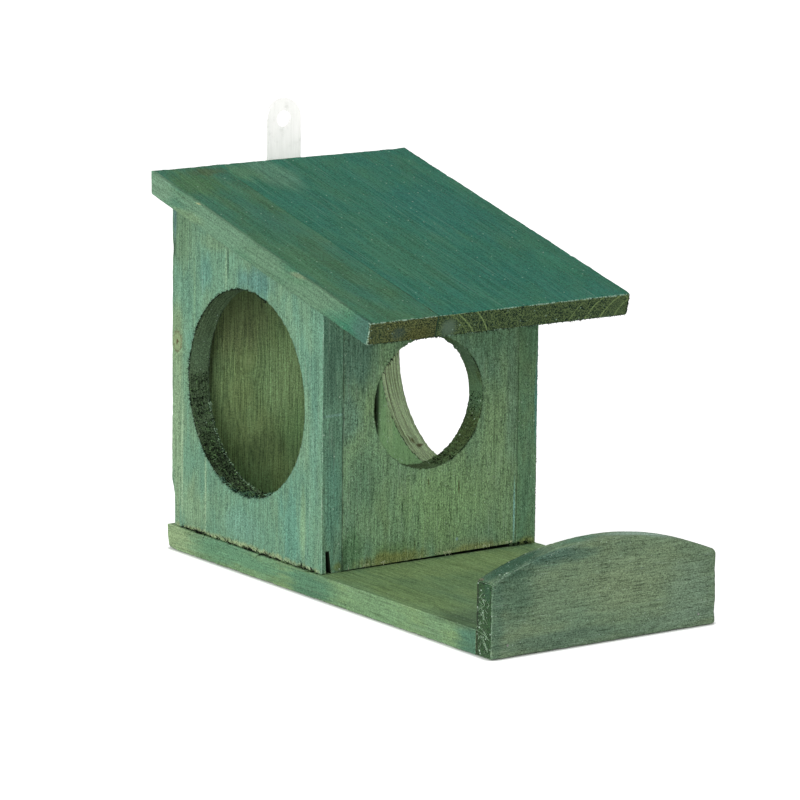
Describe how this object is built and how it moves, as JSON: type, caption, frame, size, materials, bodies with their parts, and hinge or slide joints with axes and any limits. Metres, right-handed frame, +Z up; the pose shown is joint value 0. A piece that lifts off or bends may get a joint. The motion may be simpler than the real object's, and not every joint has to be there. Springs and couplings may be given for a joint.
{
  "type": "squirrel feeder box",
  "caption": "Green-stained wooden feeder house with round side and front holes, a sloping roof, a base board with an arched lip and a metal hanging strap.",
  "frame": {"origin": "middle of the footprint of base and lip, on the underside", "axes": "+Z up, +Y from the lip towards the back wall and the strap, +X to the right as seen from the front"},
  "size_m": [0.14, 0.2519, 0.2027],
  "materials": {
    "base_wood": "thin green stain, satin",
    "lip_wood": "dark green stain, satin",
    "side_wood": "light green stain, satin",
    "front_wood": "grey green stain, satin",
    "roof_wood": "deep green stain, satin",
    "strap_metal": "bright bare sheet",
    "fastener_steel": "zinc plated"
  },
  "bodies": {
    "root": {"base_board": "base_wood", "lip_board": "lip_wood", "left_wall": "side_wood", "right_wall": "side_wood", "front_wall": "front_wood", "back_wall": "front_wood", "roof_board_left": "roof_wood", "roof_board_right": "roof_wood", "hanger_strap": "strap_metal", "hanger_screws": "fastener_steel", "base_nails": "fastener_steel", "front_wall_pins": "fastener_steel", "back_wall_pins": "fastener_steel", "roof_pins": "fastener_steel", "lip_pins": "fastener_steel"}
  },
  "joints": []
}
